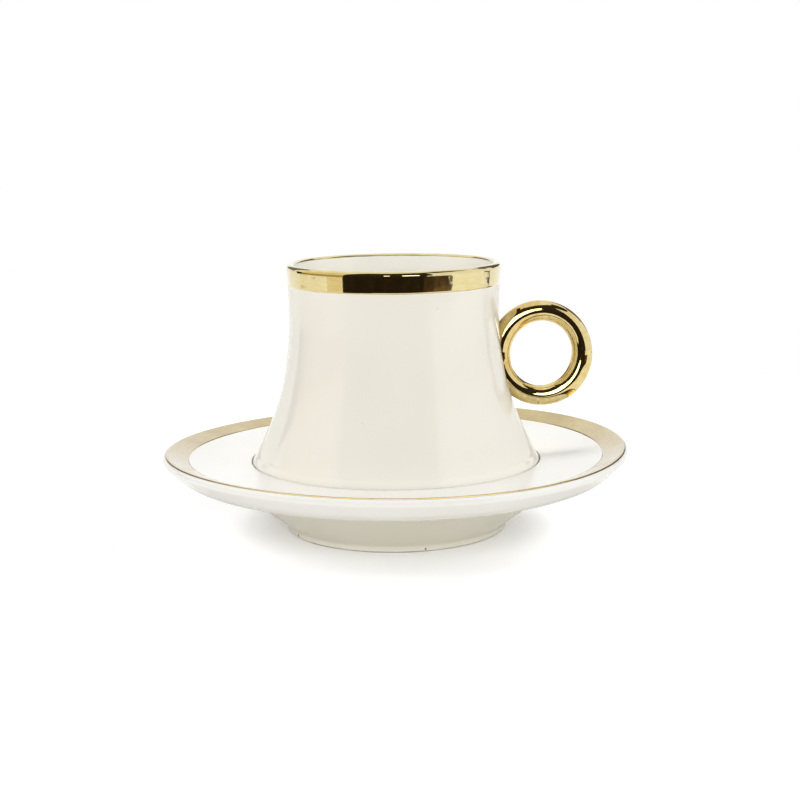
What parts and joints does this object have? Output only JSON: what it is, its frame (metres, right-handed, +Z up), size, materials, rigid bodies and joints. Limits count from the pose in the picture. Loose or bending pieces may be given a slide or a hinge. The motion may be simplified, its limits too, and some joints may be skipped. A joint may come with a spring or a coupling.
{
  "type": "teacup and saucer",
  "caption": "Bell-shaped glazed porcelain teacup with a gilt lip and a gilt ring handle, standing in the well of a gilt-rimmed footed saucer that it lifts off.",
  "frame": {"origin": "on the table plane at the middle of the saucer's foot ring, which is also the axis of the cup", "axes": "+Z up along the axis of the cup and saucer, +X towards the ring handle, +Y to complete a right-handed frame"},
  "size_m": [0.14, 0.14, 0.0808],
  "materials": {
    "saucer_porcelain": "gloss glaze",
    "cup_porcelain": "gloss glaze",
    "saucer_gold": "satin fired gold",
    "cup_gold": "mirror fired gold"
  },
  "bodies": {
    "saucer": {"saucer_body": "saucer_porcelain", "saucer_rim_gilding": "saucer_gold"},
    "cup": {"cup_body": "cup_porcelain", "cup_rim_gilding": "cup_gold", "ring_handle": "cup_porcelain", "handle_gilding": "cup_gold"}
  },
  "joints": [
    {"name": "cup_lift", "type": "slide", "parent": "saucer", "child": "cup", "axis": [0, 0, 1], "range_m": [0, 0.1]}
  ]
}
